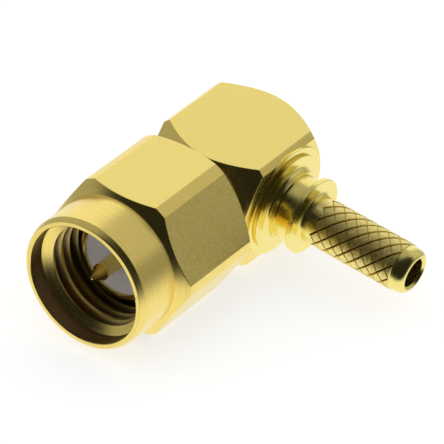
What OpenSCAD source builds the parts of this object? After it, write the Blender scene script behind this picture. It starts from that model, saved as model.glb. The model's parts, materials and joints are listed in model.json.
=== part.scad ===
// Right-angle SMA plug, crimp type, for thin coaxial cable.
//
// Frame: the origin is the centre of the mating reference plane, the front end
// of the outer contact. The coupling axis is Y, with the mouth towards -Y.
// The plug lies on its nut, with the cable stem towards +X and tipped down by
// lie_angle, and +Z is up.
// Inside a module, the body's pieces are drawn level and lie() tips them.

/* [Lie] */
// Tip of the cable stem below level, in degrees
lie_angle = 9; // [0:0.5:15]
// Turn of the nut's top flat away from the body's top flat, in degrees
nut_turn = 4.4; // [-30:0.1:30]

/* [Coupling nut] */
// Width of the nut across its flats
nut_af = 8; // [7.6:0.05:8.6]
// Diameter that the nut's corners are turned down to
nut_corner_d = 8.88; // [8.7:0.02:9.2]
// Outer diameter of the round sleeve in front of the hexagon
nut_sleeve_d = 7.46; // [7.2:0.02:7.8]
// Reach of the mouth in front of the reference plane
nut_reach = 2.79; // [2.4:0.01:3]
// Length of the round sleeve
nut_sleeve_l = 2.75; // [2.4:0.01:3]
// Overall length of the nut
nut_l = 8.7; // [8.4:0.05:8.8]
// Slope of the turned ends of the hexagon, in degrees
nut_end_slope = 32; // [25:1:45]
// Diameter of the entry bore at the mouth
mouth_d = 6.68; // [6.5:0.02:6.9]
// Depth of the entry bore
mouth_depth = 0.93; // [0.7:0.01:1.1]
// Diameter over the crests of the internal 1/4-36 thread
thread_minor_d = 5.66; // [5.6:0.01:5.75]

/* [Body] */
// Width of the square block across its flats
block_w = 6.4; // [6.2:0.05:6.8]
// Bevel along the four long corners of the block
block_bevel = 0.3; // [0.1:0.05:0.5]
// Length of the block's top flat, along the coupling axis
block_flat_l = 6.81; // [6.4:0.01:7.2]
// Diameter of the block's round end faces
block_face_d = 5.8; // [5.6:0.05:6]
// Distance from the reference plane to the cable axis
cable_y = 10.16; // [10:0.01:10.4]
// Distance from the cable axis forward to the front of the top flat
block_front = 3.57; // [3.4:0.01:3.7]
// Outer diameter of the outer contact
outer_contact_d = 4.58; // [4.57:0.01:4.61]
// Bore of the outer contact, and diameter of the insulators
dielectric_d = 4.1; // [4.05:0.01:4.15]
// Diameter of the journal that the nut turns on
journal_d = 5.6; // [5.5:0.01:5.62]

/* [Centre contact] */
// Diameter of the mating pin
pin_d = 0.92; // [0.9:0.01:0.94]
// Reach of the pin in front of the reference plane
pin_reach = 2.05; // [1.8:0.01:2.3]
// Diameter of the contact inside the insulator
contact_d = 1.27; // [1.25:0.01:1.3]

/* [Cable stem] */
// Distance from the coupling axis to the tip of the stem
stem_reach = 11.6; // [11:0.1:12.5]
// Diameter over the knurl
stem_d = 2.64; // [2.5:0.02:2.8]
// Bore for the cable's dielectric
stem_bore_d = 1.6; // [1.54:0.02:1.7]
// Diameter of the thin collar
collar_d = 4.26; // [4.1:0.02:4.6]
// Diameter of the round rim against the block
rim_d = 6.24; // [6:0.02:6.36]

/* [Hidden] */

$fn = 96;
eps = 0.01;
gold = [0.86, 0.70, 0.33];
white_plastic = [0.93, 0.93, 0.90];
black_rubber = [0.10, 0.10, 0.11];

// Coupling nut, along the coupling axis
nut_mouth_y = -nut_reach;
nut_back_y = nut_mouth_y + nut_l;
nut_sleeve_y = nut_mouth_y + nut_sleeve_l;
nut_end_r = 3.75;
nut_lip_r = 3.6;
nut_lip_l = 0.35;
mouth_cone_l = 0.3;
thread_end_y = 1.4;
relief_d = 6.4;
relief_end_y = 2.9;

// Running fit between nut and body, and the snap ring in it
running_gap = 0.06;
nut_bore_r = journal_d / 2 + running_gap;
ring_y = 4.03;
ring_w = 0.5;
ring_side_gap = 0.03;
ring_in_r = 2.45;
ring_out_r = 3.08;
ring_gap_w = 1.4;

// Body, along the coupling axis
shoulder_y = 2.6;
block_front_y = cable_y - block_front;
block_back_y = block_front_y + block_flat_l;
block_cone_l = (block_w - block_face_d) / 2;
front_face_y = block_front_y - block_cone_l;
back_face_y = block_back_y + block_cone_l;
bore_r = dielectric_d / 2;

// Insulators, contact and cap
insulator_recess = 0.15;
insulator_end_y = 8.6;
contact_flange_d = 1.7;
contact_flange_l = 0.3;
contact_end_y = 10.9;
contact_slot_w = 0.55;
contact_slot_l = 1.3;
pin_cone_l = 0.67;
pin_nose_r = 0.09;
cap_d = 4.9;
cap_t = 0.7;
cap_y = back_face_y - cap_t;
rear_insulator_l = 1.5;
gasket_l = 0.75;
gasket_seat_r = 2.46;
gasket_y = shoulder_y - gasket_l;

// Cable stem, along the cable axis
face_x = block_w / 2;
spigot_r = 1.9;
spigot_x = 2.1;
rim_l = 0.12;
groove_l = 0.05;
groove_r = 2.64;
flange_r = 2.72;
flange_x = 3.5;
root_r = 1.95;
root_fillet = 0.25;
neck_x = 3.92;
neck_r = 1.82;
collar_x = 4.85;
collar_l = 0.3;
collar_fillet = 0.2;
knurl_end_x = 10.8;
knurl_starts = 10;
knurl_lead = 7.06;
knurl_depth = 0.13;
knurl_shallow_depth = 0.07;
knurl_groove_w = 0.13;
knurl_slices = 14;
plain_r = 1.27;
tip_r = 0.96;
tip_l = 0.6;

// Tips a piece of the body down to the way the plug lies
module lie() {
  rotate([0, lie_angle, 0]) children();
}

// Turns an [r, y] outline about the coupling axis
module turned_y(points) {
  rotate([-90, 0, 0]) rotate_extrude() polygon(points);
}

// Turns an [r, x] outline about the cable axis
module turned_x(points) {
  translate([0, cable_y, 0]) rotate([0, 90, 0]) rotate_extrude() polygon(points);
}

// Round bar along the coupling axis, from y0 to y1
module bar_y(r, y0, y1) {
  translate([0, y0, 0]) rotate([-90, 0, 0]) cylinder(r = r, h = y1 - y0);
}

// Round bar along the cable axis, from x0 to x1
module bar_x(r, x0, x1) {
  translate([x0, cable_y, 0]) rotate([0, 90, 0]) cylinder(r = r, h = x1 - x0);
}

// Points of an elliptical arc in an [r, x] outline, from angle a0 to a1
function arc(centre_r, centre_x, size_r, size_x, a0, a1, n = 8) =
  [for (i = [0 : n]) let (a = a0 + (a1 - a0) * i / n)
    [centre_r + size_r * cos(a), centre_x + size_x * sin(a)]];

module nut_outside() {
  slope = tan(nut_end_slope);
  corner_r = nut_corner_d / 2;
  sleeve_r = nut_sleeve_d / 2;
  intersection() {
    translate([0, nut_mouth_y, 0]) rotate([-90, 0, 0])
      cylinder(r = nut_af / 2 / cos(30), h = nut_l, $fn = 6);
    turned_y([
      [0, nut_mouth_y], [nut_lip_r, nut_mouth_y], [sleeve_r, nut_mouth_y + nut_lip_l],
      [sleeve_r, nut_sleeve_y], [corner_r, nut_sleeve_y + (corner_r - sleeve_r) * slope],
      [corner_r, nut_back_y - (corner_r - nut_end_r) * slope], [nut_end_r, nut_back_y],
      [0, nut_back_y]
    ]);
  }
}

module coupling_nut() {
  thread_r = thread_minor_d / 2;
  groove_half = ring_w / 2 + ring_side_gap * 2;
  groove_y = ring_y + ring_w / 2;
  color(gold) rotate([0, lie_angle - nut_turn, 0]) difference() {
    nut_outside();
    turned_y([
      [0, nut_mouth_y - 1], [mouth_d / 2, nut_mouth_y - 1],
      [mouth_d / 2, nut_mouth_y + mouth_depth],
      [thread_r, nut_mouth_y + mouth_depth + mouth_cone_l], [thread_r, thread_end_y],
      [relief_d / 2, thread_end_y], [relief_d / 2, relief_end_y],
      [nut_bore_r, relief_end_y], [nut_bore_r, nut_back_y + 1], [0, nut_back_y + 1]
    ]);
    bar_y(ring_out_r + running_gap, groove_y - groove_half, groove_y + groove_half);
  }
}

// Square bar with bevelled corners, turned at both ends
module block() {
  half = block_w / 2;
  edge = half - block_bevel;
  corner_r = norm([half, half]);
  intersection() {
    translate([0, front_face_y, 0]) rotate([-90, 0, 0])
      linear_extrude(back_face_y - front_face_y)
        polygon([
          [-edge, -half], [edge, -half], [half, -edge], [half, edge],
          [edge, half], [-edge, half], [-half, edge], [-half, -edge]
        ]);
    turned_y([
      [0, front_face_y], [block_face_d / 2, front_face_y],
      [corner_r, front_face_y + corner_r - block_face_d / 2],
      [corner_r, back_face_y - corner_r + block_face_d / 2],
      [block_face_d / 2, back_face_y], [0, back_face_y]
    ]);
  }
}

// Block, journal for the nut and outer contact, turned in one piece
module body() {
  contact_r = outer_contact_d / 2;
  journal_r = journal_d / 2;
  lip = 0.08;
  color(gold) lie() difference() {
    union() {
      block();
      turned_y([
        [0, 0], [contact_r - lip, 0], [contact_r, lip], [contact_r, gasket_y],
        [gasket_seat_r, gasket_y], [gasket_seat_r, shoulder_y],
        [journal_r, shoulder_y], [journal_r, ring_y - ring_side_gap],
        [ring_in_r, ring_y - ring_side_gap], [ring_in_r, ring_y + ring_w + ring_side_gap],
        [journal_r, ring_y + ring_w + ring_side_gap], [journal_r, front_face_y + 1],
        [0, front_face_y + 1]
      ]);
    }
    bar_y(bore_r, -1, cap_y + eps);
    bar_y(cap_d / 2, cap_y, back_face_y + 1);
    bar_x(spigot_r, 0, face_x + 1);
  }
}

// One family of the diamond knurl's grooves: way is 1 or -1, and each slice holds one crossing
module knurl_grooves(way, depth, first) {
  step = 360 / knurl_starts;
  run = knurl_slices * knurl_lead / knurl_starts / 2;
  stem_r = stem_d / 2;
  translate([knurl_end_x + eps * 2 - run, cable_y, 0]) rotate([0, 90, 0])
    for (k = [0 : knurl_starts - 1]) rotate(first + step * k)
      linear_extrude(run, twist = way * step / 2 * knurl_slices, slices = knurl_slices, $fn = 3)
        polygon([[stem_r - depth, 0], [stem_r + 0.1, -knurl_groove_w], [stem_r + 0.1, knurl_groove_w]]);
}

module crimp_stem() {
  stem_r = stem_d / 2;
  collar_r = collar_d / 2;
  collar_end_x = collar_x + collar_l;
  bevel = 0.04;
  bore_bevel = 0.12;
  color(gold) lie() difference() {
    turned_x(concat(
      [[0, spigot_x], [spigot_r, spigot_x], [spigot_r, face_x],
       [rim_d / 2, face_x], [rim_d / 2, face_x + rim_l - bevel],
       [rim_d / 2 - bevel, face_x + rim_l], [groove_r, face_x + rim_l],
       [groove_r, face_x + rim_l + groove_l], [flange_r, face_x + rim_l + groove_l],
       [flange_r, flange_x - bevel], [flange_r - bevel, flange_x]],
      arc(root_r + root_fillet, flange_x + root_fillet, root_fillet, root_fillet, 270, 180, 4),
      [[root_r, neck_x], [neck_r, neck_x],
       [neck_r, collar_x], [collar_r - bevel, collar_x], [collar_r, collar_x + bevel],
       [collar_r, collar_end_x - bevel], [collar_r - bevel, collar_end_x]],
      arc(stem_r + collar_fillet, collar_end_x + collar_fillet, collar_fillet, collar_fillet, 270, 180, 4),
      [[stem_r, knurl_end_x], [plain_r, knurl_end_x + bevel]],
      arc(tip_r, stem_reach - tip_l, plain_r - tip_r, tip_l, 0, 90, 5),
      [[0, stem_reach]]
    ));
    bar_x(stem_bore_d / 2, spigot_x - 1, stem_reach + 1);
    turned_x([[0, stem_reach - bore_bevel], [stem_bore_d / 2, stem_reach - bore_bevel],
      [stem_bore_d / 2 + bore_bevel, stem_reach + eps], [0, stem_reach + eps]]);
    knurl_grooves(1, knurl_depth, 0);
    knurl_grooves(-1, knurl_shallow_depth, 180 / knurl_starts);
  }
}

// Open ring that sits in the body's groove and holds the nut on
module snap_ring() {
  color(gold) lie() difference() {
    bar_y(ring_out_r, ring_y, ring_y + ring_w);
    bar_y(ring_in_r, ring_y - 1, ring_y + ring_w + 1);
    translate([-ring_gap_w / 2, ring_y - 1, -ring_out_r - 1])
      cube([ring_gap_w, ring_w + 2, ring_out_r + 1]);
  }
}

module gasket() {
  color(black_rubber) lie() difference() {
    bar_y(journal_d / 2, gasket_y, shoulder_y);
    bar_y(gasket_seat_r, gasket_y - 1, shoulder_y + 1);
  }
}

module front_insulator() {
  color(white_plastic) lie() difference() {
    bar_y(bore_r, insulator_recess, insulator_end_y);
    bar_y(contact_d / 2, insulator_recess - 1, insulator_end_y + 1);
  }
}

// Mating pin, its thicker run in the insulator and the slotted solder end
module centre_contact() {
  pin_r = pin_d / 2;
  contact_r = contact_d / 2;
  flange_r = contact_flange_d / 2;
  nose_y = -pin_reach + pin_nose_r;
  color(gold) lie() difference() {
    turned_y([
      [0, -pin_reach], [pin_nose_r, nose_y], [pin_r, nose_y + pin_cone_l],
      [pin_r, insulator_recess], [contact_r, insulator_recess], [contact_r, insulator_end_y],
      [flange_r, insulator_end_y], [flange_r, insulator_end_y + contact_flange_l],
      [contact_r, insulator_end_y + contact_flange_l], [contact_r, contact_end_y],
      [0, contact_end_y]
    ]);
    translate([-contact_d, contact_end_y - contact_slot_l, -contact_slot_w / 2])
      cube([contact_d * 2, contact_slot_l + 1, contact_slot_w]);
  }
}

module rear_insulator() {
  color(white_plastic) lie() bar_y(bore_r, cap_y - rear_insulator_l, cap_y);
}

module rear_cap() {
  rim = 0.12;
  cap_r = cap_d / 2;
  color(gold) lie() turned_y([
    [0, cap_y], [cap_r, cap_y], [cap_r, back_face_y - rim],
    [cap_r - rim, back_face_y], [0, back_face_y]
  ]);
}

body();
crimp_stem();
coupling_nut();
snap_ring();
gasket();
front_insulator();
centre_contact();
rear_insulator();
rear_cap();
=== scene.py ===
import json
import math

import bpy
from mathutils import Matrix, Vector


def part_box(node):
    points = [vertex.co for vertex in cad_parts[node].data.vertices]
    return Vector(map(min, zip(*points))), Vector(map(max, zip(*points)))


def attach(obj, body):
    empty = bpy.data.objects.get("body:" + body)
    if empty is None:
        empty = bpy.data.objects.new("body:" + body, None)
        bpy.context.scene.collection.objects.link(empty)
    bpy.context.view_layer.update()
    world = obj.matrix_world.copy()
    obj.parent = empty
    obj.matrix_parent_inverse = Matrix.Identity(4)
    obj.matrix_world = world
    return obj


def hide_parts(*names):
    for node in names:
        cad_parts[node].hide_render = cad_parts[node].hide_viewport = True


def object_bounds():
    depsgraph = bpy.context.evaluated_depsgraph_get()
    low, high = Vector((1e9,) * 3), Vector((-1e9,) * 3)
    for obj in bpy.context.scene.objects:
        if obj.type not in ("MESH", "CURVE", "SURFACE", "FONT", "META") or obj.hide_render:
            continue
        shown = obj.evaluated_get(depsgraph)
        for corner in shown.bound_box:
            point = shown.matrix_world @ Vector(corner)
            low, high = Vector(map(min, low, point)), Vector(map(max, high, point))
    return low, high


# Each piece is modelled level with 1 unit = 1 mm, then laid down and brought to metres.
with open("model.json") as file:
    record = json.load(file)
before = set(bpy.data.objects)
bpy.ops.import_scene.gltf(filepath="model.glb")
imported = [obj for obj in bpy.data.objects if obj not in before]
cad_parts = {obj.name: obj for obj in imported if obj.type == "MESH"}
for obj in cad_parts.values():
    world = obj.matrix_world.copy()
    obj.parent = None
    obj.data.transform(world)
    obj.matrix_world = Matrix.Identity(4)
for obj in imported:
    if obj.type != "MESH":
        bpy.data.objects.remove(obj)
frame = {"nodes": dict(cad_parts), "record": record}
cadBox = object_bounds()
mm = 0.001


def mountOf(name):
    return next(mount for mount in frame["record"]["mounts"] if mount["name"] == name)


cableMount = mountOf("cable_bore")
stemAxis = Vector(cableMount["axis"])
lieAngle = math.atan2(-stemAxis.z, stemAxis.x)
cableY = cableMount["pos_m"][1] / mm
nutFront, nutBack = (corner.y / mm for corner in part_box("coupling_nut"))
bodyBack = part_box("body")[1].y / mm
print("frame loaded, stem tipped down", round(math.degrees(lieAngle), 2), "degrees")

# Camera

cameraSizes = {
    "azimuth": 36.18,
    "elevation": 33.76,
    "aim": (0.347, 8.622, -2.163),  # mm
    "distance": 232.54,  # mm
    "sensor": 36,
    "lens": 361.0,
    "clip": (0.01, 10),  # m
}


def placeCamera(sizes):
    azimuth = math.radians(sizes["azimuth"])
    elevation = math.radians(sizes["elevation"])
    back = Vector((
        math.sin(azimuth) * math.cos(elevation),
        -math.cos(azimuth) * math.cos(elevation),
        math.sin(elevation),
    ))
    bpy.ops.object.camera_add(location=(Vector(sizes["aim"]) + back * sizes["distance"]) * mm)
    camera = bpy.context.object
    camera.name = "Camera"
    camera.rotation_mode = "QUATERNION"
    camera.rotation_quaternion = (-back).to_track_quat("-Z", "Y")
    camera.data.sensor_width = sizes["sensor"]
    camera.data.lens = sizes["lens"]
    camera.data.clip_start, camera.data.clip_end = sizes["clip"]
    bpy.context.scene.camera = camera


placeCamera(cameraSizes)
print("camera placed")

# Modelling helpers


def deselectAll():
    bpy.ops.object.select_all(action="DESELECT")


def pick(piece):
    deselectAll()
    piece.select_set(True)
    bpy.context.view_layer.objects.active = piece


def arcPoints(centre, size, start, end, steps=8):
    points = []
    for i in range(steps + 1):
        angle = math.radians(start + (end - start) * i / steps)
        across, along = size[0] * math.cos(angle), size[1] * math.sin(angle)
        points.append((centre[0] + across, centre[1] + along))
    return points


# An outline of (radius, along) points is drawn by extruding one vertex, and spun about X or Y.
def turnPiece(name, outline, along, steps=160):
    def place(point):
        return Vector((point[0], point[1], 0)) if along == "Y" else Vector((point[1], point[0], 0))

    deselectAll()
    bpy.ops.mesh.primitive_plane_add(size=1)
    piece = bpy.context.object
    piece.name = name
    bpy.ops.object.mode_set(mode="EDIT")
    bpy.ops.mesh.select_all(action="SELECT")
    bpy.ops.mesh.merge(type="CENTER")
    here = place(outline[0])
    bpy.ops.transform.translate(value=here)
    for point in outline[1:]:
        step = place(point) - here
        here = place(point)
        bpy.ops.mesh.extrude_region_move(TRANSFORM_OT_translate={"value": step})
    bpy.ops.mesh.select_all(action="SELECT")
    axis = (0, 1, 0) if along == "Y" else (1, 0, 0)
    bpy.ops.mesh.spin(steps=steps, angle=math.tau, center=(0, 0, 0), axis=axis)
    bpy.ops.mesh.select_all(action="SELECT")
    bpy.ops.mesh.remove_doubles(threshold=1e-4)
    bpy.ops.mesh.normals_make_consistent(inside=False)
    bpy.ops.object.mode_set(mode="OBJECT")
    return piece


def addPrism(name, corners, width, front, back, turn):
    deselectAll()
    bpy.ops.mesh.primitive_cylinder_add(
        vertices=corners,
        radius=width / 2 / math.cos(math.pi / corners),
        depth=back - front,
        location=(0, (front + back) / 2, 0),
        rotation=(math.pi / 2, turn, 0),
    )
    piece = bpy.context.object
    piece.name = name
    bpy.ops.object.transform_apply(location=True, rotation=True, scale=True)
    return piece


def combine(piece, tool, how):
    pick(piece)
    bpy.ops.object.modifier_add(type="BOOLEAN")
    modifier = piece.modifiers[-1]
    modifier.operation = how
    modifier.solver = "EXACT"
    modifier.object = tool
    bpy.ops.object.modifier_apply(modifier=modifier.name)
    bpy.data.objects.remove(tool)


def breakEdges(piece, width, segments=2, limit=18):
    pick(piece)
    bpy.ops.object.modifier_add(type="BEVEL")
    modifier = piece.modifiers[-1]
    modifier.width = width
    modifier.segments = segments
    modifier.limit_method = "ANGLE"
    modifier.angle_limit = math.radians(limit)
    bpy.ops.object.modifier_apply(modifier=modifier.name)


# Fills open ends and slits that have up to so many sides
def closeEnds(sides):
    bpy.ops.object.mode_set(mode="EDIT")
    bpy.ops.mesh.select_all(action="DESELECT")
    bpy.ops.mesh.select_non_manifold()
    bpy.ops.mesh.fill_holes(sides=sides)
    bpy.ops.mesh.select_all(action="SELECT")
    bpy.ops.mesh.normals_make_consistent(inside=False)
    bpy.ops.object.mode_set(mode="OBJECT")


def smoothPiece(piece, limit=30):
    pick(piece)
    bpy.ops.object.shade_smooth_by_angle(angle=math.radians(limit))
    bpy.ops.object.modifier_add(type="WEIGHTED_NORMAL")
    piece.modifiers[-1].keep_sharp = True
    bpy.ops.object.modifier_apply(modifier=piece.modifiers[-1].name)


def layDown(piece, angle):
    pick(piece)
    piece.rotation_euler = (0, angle, 0)
    piece.scale = (mm, mm, mm)
    bpy.ops.object.transform_apply(location=False, rotation=True, scale=True)


# Finishes

goldColours = {
    "flat": (0.99, 0.80, 0.20),
    "turned": (0.93, 0.73, 0.205),
    # painted shade: the dark brown laid into the thread's roots
    "thread": (0.34, 0.24, 0.13),
    "knurl": (0.98, 0.82, 0.29),
    # painted shade: the dark laid into the knurl's grooves
    "groove": (0.24, 0.15, 0.05),
    "stem": (0.94, 0.80, 0.25),
    "contact": (0.88, 0.72, 0.22),
}


def newFinish(name, colour, roughness, metallic):
    finish = bpy.data.materials.new(name)
    finish.use_nodes = True
    shader = finish.node_tree.nodes["Principled BSDF"]
    shader.inputs["Base Color"].default_value = (*colour, 1)
    shader.inputs["Roughness"].default_value = roughness
    shader.inputs["Metallic"].default_value = metallic
    return finish, finish.node_tree.nodes, finish.node_tree.links, shader


# Object coordinates, in millimetres and turned level
def levelCoordinates(nodes, links, angle, centre=0.0):
    where = nodes.new("ShaderNodeTexCoord")
    level = nodes.new("ShaderNodeMapping")
    level.inputs["Scale"].default_value = (1 / mm, 1 / mm, 1 / mm)
    level.inputs["Rotation"].default_value = (0, -angle, 0)
    level.inputs["Location"].default_value = (0, -centre, 0)
    links.new(where.outputs["Object"], level.inputs["Vector"])
    return level.outputs["Vector"]


def stretched(nodes, links, vector, perMm):
    stretch = nodes.new("ShaderNodeMapping")
    stretch.inputs["Scale"].default_value = perMm
    links.new(vector, stretch.inputs["Vector"])
    return stretch.outputs["Vector"]


# Radius and distance along a turned piece's axis, so that lines run round it
def turnedCoordinates(nodes, links, along, angle, linesPerMm, roundPerMm=0.6):
    parts = nodes.new("ShaderNodeSeparateXYZ")
    centre = cableY if along == "X" else 0.0
    links.new(levelCoordinates(nodes, links, angle, centre), parts.inputs[0])
    across = parts.outputs["Y" if along == "X" else "X"]
    flat = nodes.new("ShaderNodeCombineXYZ")
    links.new(across, flat.inputs["X"])
    links.new(parts.outputs["Z"], flat.inputs["Y"])
    radius = nodes.new("ShaderNodeVectorMath")
    radius.operation = "LENGTH"
    links.new(flat.outputs[0], radius.inputs[0])
    joined = nodes.new("ShaderNodeCombineXYZ")
    links.new(radius.outputs["Value"], joined.inputs["X"])
    links.new(parts.outputs[along], joined.inputs["Y"])
    links.new(across, joined.inputs["Z"])
    lines = stretched(nodes, links, joined.outputs[0], (linesPerMm, linesPerMm, roundPerMm))
    return lines, radius.outputs["Value"]


def addNoise(nodes, links, vector, detail=3.0, roughness=0.6):
    noise = nodes.new("ShaderNodeTexNoise")
    noise.inputs["Scale"].default_value = 1
    noise.inputs["Detail"].default_value = detail
    noise.inputs["Roughness"].default_value = roughness
    links.new(vector, noise.inputs["Vector"])
    return noise.outputs["Fac"]


def addRange(nodes, links, value, low, high, fromLow=0.0, fromHigh=1.0):
    spread = nodes.new("ShaderNodeMapRange")
    spread.inputs["From Min"].default_value = fromLow
    spread.inputs["From Max"].default_value = fromHigh
    spread.inputs["To Min"].default_value = low
    spread.inputs["To Max"].default_value = high
    links.new(value, spread.inputs["Value"])
    return spread.outputs["Result"]


def addTint(nodes, links, shader, amount, low, high):
    tint = nodes.new("ShaderNodeMix")
    tint.data_type = "RGBA"
    tint.inputs["A"].default_value = (*low, 1)
    tint.inputs["B"].default_value = (*high, 1)
    links.new(amount, tint.inputs["Factor"])
    links.new(tint.outputs["Result"], shader.inputs["Base Color"])


def addBump(nodes, links, shader, height, depth):
    bump = nodes.new("ShaderNodeBump")
    bump.inputs["Strength"].default_value = 1
    bump.inputs["Distance"].default_value = depth * mm
    links.new(height, bump.inputs["Height"])
    links.new(bump.outputs["Normal"], shader.inputs["Normal"])


# The grain's middle values are spread over a range of roughness round the finish's own
def varyRoughness(nodes, links, shader, grain, low, high):
    links.new(addRange(nodes, links, grain, low, high, 0.3, 0.7), shader.inputs["Roughness"])


# Drawn and milled flats: fine grain, a little longer one way
def milledGold(name, angle, perMm, roughness, depth):
    colour = goldColours["flat"]
    finish, nodes, links, shader = newFinish(name, colour, roughness, 1)
    vector = stretched(nodes, links, levelCoordinates(nodes, links, angle), perMm)
    grain = addNoise(nodes, links, vector, 4, 0.7)
    varyRoughness(nodes, links, shader, grain, roughness - 0.1, roughness + 0.14)
    darker = [value * share for value, share in zip(colour, (0.88, 0.85, 0.75))]
    paler = [value + 0.1 * (1 - value) for value in colour]
    addTint(nodes, links, shader, addRange(nodes, links, grain, 0, 1, 0.3, 0.62), darker, paler)
    addBump(nodes, links, shader, grain, depth)
    return finish


# Turned faces: fine tool lines round the axis
def turnedGold(name, along, angle, linesPerMm, roughness=0.2, depth=0.002, colour="turned"):
    finish, nodes, links, shader = newFinish(name, goldColours[colour], roughness, 1)
    vector, radius = turnedCoordinates(nodes, links, along, angle, linesPerMm)
    lines = addNoise(nodes, links, vector, 3, 0.65)
    varyRoughness(nodes, links, shader, lines, roughness - 0.08, roughness + 0.1)
    addBump(nodes, links, shader, lines, depth)
    return finish


# Duller gold, with painted shade darkening it down in the grooves: below one radius of a stem, or above one
# of a bore
def grooveShadedGold(name, along, angle, grainPerMm, roughness, depth, crest, root, crestAndShade):
    finish, nodes, links, shader = newFinish(name, crestAndShade[0], roughness, 1)
    vector, radius = turnedCoordinates(nodes, links, along, angle, grainPerMm, grainPerMm)
    grain = addNoise(nodes, links, vector, 3, 0.65)
    varyRoughness(nodes, links, shader, grain, roughness - 0.1, roughness + 0.14)
    addTint(nodes, links, shader, addRange(nodes, links, radius, 0, 1, crest, root), *crestAndShade)
    addBump(nodes, links, shader, grain, depth)
    return finish


def plainFinish(name, colour, roughness, metallic, perMm, depth):
    finish, nodes, links, shader = newFinish(name, colour, roughness, metallic)
    vector = stretched(nodes, links, levelCoordinates(nodes, links, 0), (perMm,) * 3)
    grain = addNoise(nodes, links, vector)
    links.new(addRange(nodes, links, grain, roughness - 0.06, roughness + 0.06), shader.inputs["Roughness"])
    darker = [value * 0.9 for value in colour]
    addTint(nodes, links, shader, addRange(nodes, links, grain, 0, 1, 0.3, 0.7), darker, colour)
    addBump(nodes, links, shader, grain, depth)
    return finish


nutTurn = math.radians(4.4)  # the nut's top flat is turned away from the block's
nutAngle = lieAngle - nutTurn
nutFlatGold = milledGold("NutFlatGold", nutAngle, (7, 5, 7), 0.3, 0.009)
nutTurnedGold = turnedGold("NutTurnedGold", "Y", nutAngle, 13, 0.24, 0.0035)
# The thread's roots are painted darker with depth, as painted shade
nutThreadGold = grooveShadedGold("NutThreadGold", "Y", nutAngle, 12, 0.38, 0.003, 2.85, 2.98,
                            (goldColours["turned"], goldColours["thread"]))
blockFlatGold = milledGold("BlockFlatGold", lieAngle, (4, 9, 4), 0.27, 0.007)
blockTurnedGold = turnedGold("BlockTurnedGold", "Y", lieAngle, 12, 0.2)
stemGold = turnedGold("StemGold", "X", lieAngle, 14, 0.2, 0.0015, "stem")
# The knurl's grooves are painted darker with depth, as painted shade
knurlGold = grooveShadedGold("KnurlGold", "X", lieAngle, 7, 0.44, 0.03, 1.28, 1.2,
                        (goldColours["knurl"], goldColours["groove"]))
contactGold = turnedGold("ContactGold", "Y", lieAngle, 14, 0.15, 0.001, "contact")
springBronze = plainFinish("SpringBronze", (0.72, 0.48, 0.26), 0.35, 1, 8, 0.002)
gasketRubber = plainFinish("GasketRubber", (0.03, 0.03, 0.032), 0.6, 0, 10, 0.004)
# The PTFE's off-white is partly its own tone and partly lowered from white as painted shade for its place
# inside the bore
whitePtfe = plainFinish("WhitePtfe", (0.69, 0.65, 0.60), 0.5, 0, 6, 0.003)
print("finishes made")

faceTolerance = 0.01  # mm


# The flats take the second finish: faces that look straight out, at a flat's distance from the axis
def paintFlats(piece, distance, sides, lie, first):
    for side in range(sides):
        angle = first + math.tau * side / sides - lie
        out = Vector((math.cos(angle), 0, math.sin(angle)))
        for face in piece.data.polygons:
            offset = abs(face.center.dot(out) / mm - distance)
            if face.normal.dot(out) > 0.9995 and offset < faceTolerance:
                face.material_index = 1


def dress(piece, finishes, body, node):
    for finish in finishes:
        piece.data.materials.append(finish)
    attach(piece, body)
    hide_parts(node)


# Coupling nut: hexagon bar with a turned sleeve, turned ends and an inside thread

nutSizes = {
    "flats": 8.0,
    "cornerRadius": 4.44,
    "sleeveRadius": 3.73,
    "sleeveLength": 2.75,
    "endSlope": math.radians(32),
    "backRadius": 3.75,
    "lipRadius": 3.6,
    "lipLength": 0.35,
    "mouthRadius": 3.34,
    "mouthDepth": 0.93,
    "mouthCone": 0.3,
    "lipBeforeShade": 0.1,  # how deep the lip's own finish goes into the mouth, before the painted shade
    "crestRadius": 2.83,
    "rootRadius": 3.175,
    "pitch": 0.7056,
    "threadHalves": (0.375, 0.06),  # half width at the crest and at the root, in pitches
    "threadFlank": math.radians(30),
    "threadOverlap": 0.1,
    "threadStart": 0.58,
    "fullDepthTurn": 0.82,
    "fadeTurns": 0.3,
    "threadEnd": 1.4,
    "reliefRadius": 3.2,
    "reliefEnd": 2.9,
    "boreRadius": 2.86,
    "grooveRadius": 3.14,
    "groove": (3.97, 4.59),
    "edge": 0.035,
}


# The groove's cutter: its first turn starts shallow, as a tap's does
def threadTool(sizes):
    pitch, crest, root = sizes["pitch"], sizes["crestRadius"], sizes["rootRadius"]
    overlap = sizes["threadOverlap"]
    crestHalf, rootHalf = (pitch * share for share in sizes["threadHalves"])
    inside = crest - overlap
    flare = crestHalf + overlap * math.tan(sizes["threadFlank"])
    start = nutFront + sizes["threadStart"]
    turns = math.ceil((sizes["threadEnd"] - start) / pitch)
    section = [(inside, -flare), (root, -rootHalf), (root, rootHalf), (inside, flare)]
    deselectAll()
    bpy.ops.mesh.primitive_plane_add(size=1)
    tool = bpy.context.object
    tool.name = "ThreadTool"
    for corner, point in zip((0, 1, 3, 2), section):
        tool.data.vertices[corner].co = (point[0], start + point[1], 0)
    bpy.ops.object.modifier_add(type="SCREW")
    screw = tool.modifiers[-1]
    screw.axis = "Y"
    screw.angle = math.tau
    screw.screw_offset = pitch
    screw.iterations = turns
    screw.steps = screw.render_steps = 72
    screw.use_merge_vertices = False
    bpy.ops.object.modifier_apply(modifier=screw.name)
    closeEnds(4)
    for vertex in tool.data.vertices:
        part = -math.atan2(vertex.co.z, vertex.co.x) / math.tau
        turn = part + round((vertex.co.y - start) / pitch - part)
        shallow = min(max((sizes["fullDepthTurn"] - turn) / sizes["fadeTurns"], 0), 1)
        radius = math.hypot(vertex.co.x, vertex.co.z)
        shrink = 1 - shallow * (root - crest) / radius
        vertex.co.x *= shrink
        vertex.co.z *= shrink
    return tool


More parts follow.
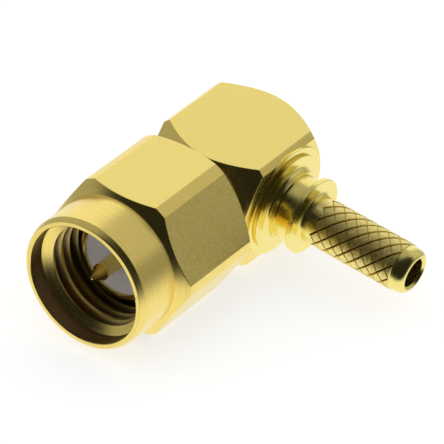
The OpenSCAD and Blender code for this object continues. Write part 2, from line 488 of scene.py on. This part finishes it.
def makeNut(sizes):
    front, back, slope = nutFront, nutBack, math.tan(sizes["endSlope"])
    corner, backRadius, edge = sizes["cornerRadius"], sizes["backRadius"], sizes["edge"]
    sleeve, sleeveEnd = sizes["sleeveRadius"], front + sizes["sleeveLength"]
    nut = turnPiece("CouplingNut", [
        (0, front), (sizes["lipRadius"], front), (sleeve, front + sizes["lipLength"]),
        (sleeve, sleeveEnd), (corner, sleeveEnd + (corner - sleeve) * slope),
        (corner, back - (corner - backRadius) * slope), (backRadius, back), (0, back),
    ], "Y", 192)
    combine(nut, addPrism("NutBar", 6, sizes["flats"], front - 1, back + 1, math.pi / 6), "INTERSECT")
    breakEdges(nut, edge)
    mouth, mouthEnd = sizes["mouthRadius"], front + sizes["mouthDepth"]
    crest, threadEnd = sizes["crestRadius"], sizes["threadEnd"]
    relief, reliefEnd, bore = sizes["reliefRadius"], sizes["reliefEnd"], sizes["boreRadius"]
    groove, (grooveFront, grooveBack) = sizes["grooveRadius"], sizes["groove"]
    combine(nut, turnPiece("NutBore", [
        (0, front - 1), (mouth + edge * 2, front - 1), (mouth + edge, front), (mouth, front + edge),
        (mouth, mouthEnd), (crest, mouthEnd + sizes["mouthCone"]), (crest, threadEnd),
        (relief, threadEnd), (relief, reliefEnd), (bore, reliefEnd), (bore, grooveFront),
        (groove, grooveFront), (groove, grooveBack), (bore, grooveBack), (bore, back + 1), (0, back + 1),
    ], "Y", 144), "DIFFERENCE")
    combine(nut, threadTool(sizes), "DIFFERENCE")
    return nut


# The entry bore and the thread take the third finish, whose painted shade darkens the entry bore and the
# thread's roots; the lead-in cone between them stays bright, without it
def paintBoreShade(piece, sizes):
    coneStart = nutFront + sizes["mouthDepth"]
    coneEnd = coneStart + sizes["mouthCone"]
    for face in piece.data.polygons:
        along = face.center.y / mm
        radius = math.hypot(face.center.x, face.center.z) / mm
        pastLip = nutFront + sizes["lipBeforeShade"] < along < nutBack - faceTolerance
        inBore = radius < sizes["mouthRadius"] + faceTolerance and pastLip
        onCone = coneStart - faceTolerance < along < coneEnd + faceTolerance and face.normal.y < -0.5
        if inBore and not onCone:
            face.material_index = 2


nut = makeNut(nutSizes)
smoothPiece(nut)
layDown(nut, nutAngle)
dress(nut, (nutTurnedGold, nutFlatGold, nutThreadGold), "coupling_nut", "coupling_nut")
paintBoreShade(nut, nutSizes)
paintFlats(nut, nutSizes["flats"] / 2, 6, nutAngle, math.pi / 2)
print("nut made")

# Body: a square bar, turned at its ends, with the journal and the outer contact

bodySizes = {
    "width": 6.4,
    "longBevel": 0.3,
    "faceRadius": 2.9,
    "endCone": 0.3,
    "frontFlat": 6.59,
    "contactRadius": 2.29,
    "seatRadius": 2.46,
    "seat": (1.85, 2.6),
    "journalRadius": 2.8,
    "ringGroove": (2.45, 4.0, 4.56),
    "boreRadius": 2.05,
    "capRadius": 2.45,
    "capDepth": 0.7,
    "spigotRadius": 1.9,
    "lip": 0.06,
    "edge": 0.03,
}


def makeBody(sizes):
    half, face = sizes["width"] / 2, sizes["faceRadius"]
    corner = half * math.sqrt(2)
    front, back = sizes["frontFlat"] - sizes["endCone"], bodyBack
    body = turnPiece("PlugBody", [
        (0, front), (face, front), (corner, front + corner - face),
        (corner, back - corner + face), (face, back), (0, back),
    ], "Y", 192)
    bar = addPrism("BodyBar", 4, sizes["width"], front - 1, back + 1, math.pi / 4)
    breakEdges(bar, sizes["longBevel"], 1, 60)
    combine(body, bar, "INTERSECT")
    breakEdges(body, sizes["edge"])
    contact, lip, journal = sizes["contactRadius"], sizes["lip"], sizes["journalRadius"]
    seat, (seatFront, seatBack) = sizes["seatRadius"], sizes["seat"]
    groove, grooveFront, grooveBack = sizes["ringGroove"]
    combine(body, turnPiece("Journal", [
        (0, 0), *arcPoints((contact - lip, lip), (lip, lip), -90, 0, 4),
        (contact, seatFront), (seat, seatFront), (seat, seatBack), (journal, seatBack),
        (journal, grooveFront), (groove, grooveFront), (groove, grooveBack), (journal, grooveBack),
        (journal, front + 1), (0, front + 1),
    ], "Y", 128), "UNION")
    bore, cap, capFront = sizes["boreRadius"], sizes["capRadius"], back - sizes["capDepth"]
    combine(body, turnPiece("BodyBore", [
        (0, -1), (bore + lip, -1), (bore + lip, 0), (bore, lip),
        (bore, capFront), (cap, capFront), (cap, back + 1), (0, back + 1),
    ], "Y", 120), "DIFFERENCE")
    spigot = sizes["spigotRadius"]
    hole = turnPiece("SpigotHole", [(0, 0), (spigot, 0), (spigot, half + 1), (0, half + 1)], "X", 96)
    hole.location.y = cableY
    combine(body, hole, "DIFFERENCE")
    closeEnds(3)
    return body


plugBody = makeBody(bodySizes)
smoothPiece(plugBody)
layDown(plugBody, lieAngle)
dress(plugBody, (blockTurnedGold, blockFlatGold), "plug_body", "body")
paintFlats(plugBody, bodySizes["width"] / 2, 4, lieAngle, 0)
print("body made")

# Crimp stem: a turned piece, with a diamond knurl rolled on its tube

stemSizes = {
    "spigot": (1.9, 2.1),  # radius, start
    "face": 3.2,
    "rim": (3.12, 3.32),  # radius, end
    "groove": (2.64, 3.37),
    "flange": (2.72, 3.5),
    "root": (1.95, 3.92, 0.25),  # radius, end, fillet
    "neckRadius": 1.82,
    "collar": (2.13, 4.85, 5.15, 0.2),  # radius, start, end, fillet
    "tube": (1.32, 10.8),
    "knurlStart": 5.88,
    "plainRadius": 1.27,
    "tip": (0.96, 11.0, 11.6),
    "boreRadius": 0.8,
    "boreChamfer": 0.12,
    "edge": 0.04,
    "knurlStarts": 10,
    "knurlLead": 7.06,
    "knurlDepths": (0.14, 0.05),
    "knurlHalf": 0.128,  # half width of the V, and how far it stands out of the tube
    "knurlProud": 0.08,
}


def knurlTool(sizes, depth, way):
    radius, end = sizes["tube"]
    start, out, half = sizes["knurlStart"], radius + sizes["knurlProud"], sizes["knurlHalf"]
    corners = ((start, radius - depth), (start + half, out), (start - half, out))
    deselectAll()
    bpy.ops.mesh.primitive_circle_add(vertices=3, radius=1, fill_type="NGON")
    tool = bpy.context.object
    tool.name = "KnurlTool"
    for vertex, (along, across) in zip(tool.data.vertices, corners):
        vertex.co = (along, across, 0)
    bpy.ops.object.modifier_add(type="SCREW")
    screw = tool.modifiers[-1]
    screw.axis = "X"
    screw.screw_offset = end - start
    screw.angle = way * math.tau * (end - start) / sizes["knurlLead"]
    screw.steps = screw.render_steps = 40
    bpy.ops.object.modifier_apply(modifier=screw.name)
    closeEnds(3)
    bpy.ops.object.mode_set(mode="EDIT")
    bpy.ops.mesh.select_all(action="SELECT")
    share = math.tau / sizes["knurlStarts"]
    bpy.ops.mesh.spin(steps=sizes["knurlStarts"] - 1, dupli=True, angle=math.tau - share,
                      center=(0, 0, 0), axis=(1, 0, 0))
    bpy.ops.object.mode_set(mode="OBJECT")
    return tool


def makeStem(sizes):
    face, edge = sizes["face"], sizes["edge"]
    (spigotRadius, spigotStart), (rimRadius, rimEnd) = sizes["spigot"], sizes["rim"]
    (grooveRadius, grooveEnd), (flangeRadius, flangeEnd) = sizes["groove"], sizes["flange"]
    (rootRadius, rootEnd, rootFillet), neckRadius = sizes["root"], sizes["neckRadius"]
    collarRadius, collarStart, collarEnd, collarFillet = sizes["collar"]
    (tubeRadius, tubeEnd), (tipRadius, tipStart, tip) = sizes["tube"], sizes["tip"]
    bore, plain, chamfer = sizes["boreRadius"], sizes["plainRadius"], sizes["boreChamfer"]
    halfEdge = edge / 2
    stem = turnPiece("CrimpStem", [
        (bore, spigotStart), (spigotRadius, spigotStart), (spigotRadius, face), (rimRadius, face),
        *arcPoints((rimRadius - edge, rimEnd - edge), (edge, edge), 0, 90, 3),
        (grooveRadius, rimEnd), (grooveRadius, grooveEnd),
        *arcPoints((flangeRadius - edge, flangeEnd - edge), (edge, edge), 0, 90, 3),
        *arcPoints((rootRadius + rootFillet, flangeEnd + rootFillet), (rootFillet, rootFillet), 270, 180, 10),
        *arcPoints((rootRadius - halfEdge, rootEnd - halfEdge), (halfEdge, halfEdge), 0, 90, 2),
        (neckRadius, rootEnd), (neckRadius, collarStart),
        *arcPoints((collarRadius - edge, collarStart + edge), (edge, edge), -90, 0, 3),
        *arcPoints((collarRadius - edge, collarEnd - edge), (edge, edge), 0, 90, 3),
        *arcPoints((tubeRadius + collarFillet, collarEnd + collarFillet),
                   (collarFillet, collarFillet), 270, 180, 10),
        (tubeRadius, tubeEnd), (plain, tubeEnd + edge),
        *arcPoints((tipRadius, tipStart), (plain - tipRadius, tip - tipStart), 0, 90, 10),
        (bore + chamfer, tip), (bore, tip - chamfer), (bore, spigotStart),
    ], "X", 160)
    for depth, way in zip(sizes["knurlDepths"], (-1, 1)):
        combine(stem, knurlTool(sizes, depth, way), "DIFFERENCE")
    stem.location.y = cableY
    pick(stem)
    bpy.ops.object.transform_apply(location=True, rotation=False, scale=False)
    return stem


# The knurled length takes the second finish
def paintKnurl(piece, sizes):
    centre = Vector((0, cableY, 0))
    for face in piece.data.polygons:
        place = face.center / mm - centre
        along = place.dot(stemAxis)
        radius = (place - stemAxis * along).length
        onTube = sizes["knurlStart"] - 0.1 < along < sizes["tube"][1] + faceTolerance
        if onTube and radius > sizes["boreRadius"] + 0.1:
            face.material_index = 1


stem = makeStem(stemSizes)
smoothPiece(stem)
layDown(stem, lieAngle)
dress(stem, (stemGold, knurlGold), "plug_body", "crimp_stem")
paintKnurl(stem, stemSizes)
print("stem made")

# Centre contact: a pointed pin in front, a slotted solder end behind

contactSizes = {
    "reach": 2.05,
    "noseRadius": 0.09,
    "coneLength": 0.67,
    "pinRadius": 0.46,
    "pinEdge": 0.06,
    "face": 0.27,
    "bodyRadius": 0.635,
    "flange": (0.85, 8.6, 8.9),
    "end": 10.9,
    "slot": (0.55, 1.3),
}


def makeContact(sizes):
    nose, cone, pin, edge = sizes["noseRadius"], sizes["coneLength"], sizes["pinRadius"], sizes["pinEdge"]
    face, end = sizes["face"], sizes["end"]
    body, (flange, flangeFront, flangeBack) = sizes["bodyRadius"], sizes["flange"]
    contact = turnPiece("CentreContact", [
        *arcPoints((0, nose - sizes["reach"]), (nose, nose), -90, -25, 5),
        *arcPoints((pin - edge, nose - sizes["reach"] + cone), (edge, edge), -30, 0, 3),
        (pin, face), (body, face), (body, flangeFront), (flange, flangeFront),
        (flange, flangeBack), (body, flangeBack), (body, end), (0, end),
    ], "Y", 96)
    width, length = sizes["slot"]
    deselectAll()
    bpy.ops.mesh.primitive_cube_add(size=1, location=(0, end - length / 2 + 0.5, 0),
                                    scale=(body * 4, length + 1, width))
    combine(contact, bpy.context.object, "DIFFERENCE")
    return contact


contact = makeContact(contactSizes)
smoothPiece(contact)
layDown(contact, lieAngle)
dress(contact, (contactGold,), "plug_body", "centre_contact")
print("contact made")

# Front insulator: a plain tube that closes on the pin at its face

insulatorSizes = {
    "radius": 2.05,
    "pinHole": 0.465,
    "contactHole": 0.635,
    "face": 0.15,
    "step": 0.27,
    "end": 8.6,
    "edge": 0.03,
}


def makeInsulator(sizes):
    radius, face, end, edge = sizes["radius"], sizes["face"], sizes["end"], sizes["edge"]
    pinHole, contactHole, step = sizes["pinHole"], sizes["contactHole"], sizes["step"]
    return turnPiece("FrontInsulator", [
        (pinHole, face), (radius - edge, face), (radius, face + edge), (radius, end),
        (contactHole, end), (contactHole, step), (pinHole, step), (pinHole, face),
    ], "Y", 96)


insulator = makeInsulator(insulatorSizes)
smoothPiece(insulator)
layDown(insulator, lieAngle)
dress(insulator, (whitePtfe,), "plug_body", "front_insulator")
print("insulator made")

for node, finish in (
    ("snap_ring", springBronze),
    ("gasket", gasketRubber),
    ("rear_insulator", whitePtfe),
    ("rear_cap", blockTurnedGold),
):
    frame["nodes"][node].data.materials.clear()
    frame["nodes"][node].data.materials.append(finish)

# Floor, studio and light

studioSizes = {
    "floor": 1.2,  # m
    "floorGrey": 0.5,
    "floorGlow": 0.66,  # only the camera sees it
    "walls": 0.42,
    "fill": 0.8,
    "patches": (  # direction, inner and outer half angle in degrees, level
        ((0.41, 0.71, 0.57), 18, 48, 0.58),
        ((0.81, 0.59, 0.0), 6, 26, 0.33),
        ((0.0, 0.0, -1.0), 48, 89, 1.0),
        ((-0.53, 0.73, 0.44), 14, 34, 1.0),
        ((-0.56, 0.83, -0.07), 12, 34, 1.0),
        ((0.66, -0.56, 0.5), 42, 72, 0.02),
        ((0.13, -0.92, 0.37), 36, 64, 0.02),
    ),
}


def makeFloor(sizes):
    deselectAll()
    bpy.ops.mesh.primitive_plane_add(size=sizes["floor"], location=(0, 0, cadBox[0].z))
    floor = bpy.context.object
    floor.name = "Floor"
    floor.visible_glossy = False  # the world's lower half shows in the gold instead
    finish = bpy.data.materials.new("FloorWhite")
    finish.use_nodes = True
    nodes, links = finish.node_tree.nodes, finish.node_tree.links
    nodes.remove(nodes["Principled BSDF"])
    paint = nodes.new("ShaderNodeBsdfDiffuse")
    paint.inputs["Color"].default_value = (*[sizes["floorGrey"]] * 3, 1)
    glow = nodes.new("ShaderNodeEmission")
    seen = nodes.new("ShaderNodeLightPath")
    strength = nodes.new("ShaderNodeMath")
    strength.operation = "MULTIPLY"
    strength.inputs[1].default_value = sizes["floorGlow"]
    links.new(seen.outputs["Is Camera Ray"], strength.inputs[0])
    links.new(strength.outputs[0], glow.inputs["Strength"])
    both = nodes.new("ShaderNodeAddShader")
    links.new(paint.outputs[0], both.inputs[0])
    links.new(glow.outputs[0], both.inputs[1])
    links.new(both.outputs[0], nodes["Material Output"].inputs["Surface"])
    floor.data.materials.append(finish)


# The studio's level by direction; the camera sees white, and plain surfaces get an even light
def makeSky(sizes):
    world = bpy.data.worlds.new("Studio")
    bpy.context.scene.world = world
    world.use_nodes = True
    nodes, links = world.node_tree.nodes, world.node_tree.links
    background = nodes["Background"]
    where = nodes.new("ShaderNodeTexCoord")

    def patch(direction, inner, outer):
        towards = nodes.new("ShaderNodeVectorMath")
        towards.operation = "DOT_PRODUCT"
        towards.inputs[1].default_value = Vector(direction).normalized()
        links.new(where.outputs["Generated"], towards.inputs[0])
        spread = nodes.new("ShaderNodeMapRange")
        spread.interpolation_type = "SMOOTHERSTEP"
        spread.inputs["From Min"].default_value = math.cos(math.radians(outer))
        spread.inputs["From Max"].default_value = math.cos(math.radians(inner))
        links.new(towards.outputs["Value"], spread.inputs["Value"])
        return spread.outputs["Result"]

    def blendTo(low, high, amount):
        mix = nodes.new("ShaderNodeMix")
        mix.data_type = "FLOAT"
        links.new(amount, mix.inputs["Factor"])
        for value, socket in ((low, mix.inputs["A"]), (high, mix.inputs["B"])):
            if isinstance(value, float):
                socket.default_value = value
            else:
                links.new(value, socket)
        return mix.outputs["Result"]

    level = sizes["walls"]
    for direction, inner, outer, value in sizes["patches"]:
        level = blendTo(level, value, patch(direction, inner, outer))
    seen = nodes.new("ShaderNodeLightPath")
    level = blendTo(level, sizes["fill"], seen.outputs["Is Diffuse Ray"])
    level = blendTo(level, 1.0, seen.outputs["Is Camera Ray"])
    links.new(level, background.inputs["Strength"])
    background.inputs["Color"].default_value = (1, 1, 1, 1)


makeFloor(studioSizes)
makeSky(studioSizes)
bpy.context.scene.view_settings.view_transform = "Standard"
print("studio made")
